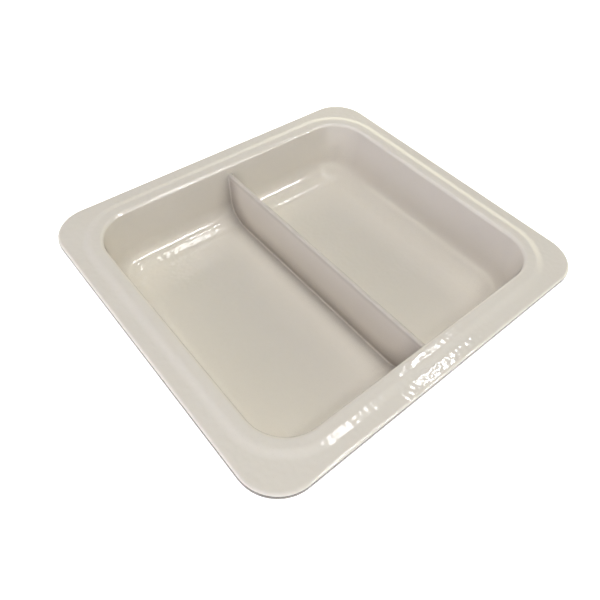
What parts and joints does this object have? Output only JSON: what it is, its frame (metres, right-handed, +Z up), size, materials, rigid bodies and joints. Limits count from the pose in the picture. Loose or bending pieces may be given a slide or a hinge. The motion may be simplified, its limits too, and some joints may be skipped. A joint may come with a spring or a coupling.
{
  "type": "counting tray",
  "caption": "Rimmed rectangular tray with drafted walls and a fixed upright divider that splits the basin into equal compartments for sorting and counting pills.",
  "frame": {"origin": "centre of the tray's underside, on the surface it stands on", "axes": "+Z up out of the open basin; +Y along the divider; +X across the two compartments"},
  "size_m": [0.254, 0.23, 0.047],
  "materials": {
    "shell_plastic": "gloss moulded, cream white",
    "divider_plastic": "gloss moulded, cream white"
  },
  "bodies": {
    "root": {"tray_shell": "shell_plastic", "divider": "divider_plastic"}
  },
  "joints": []
}
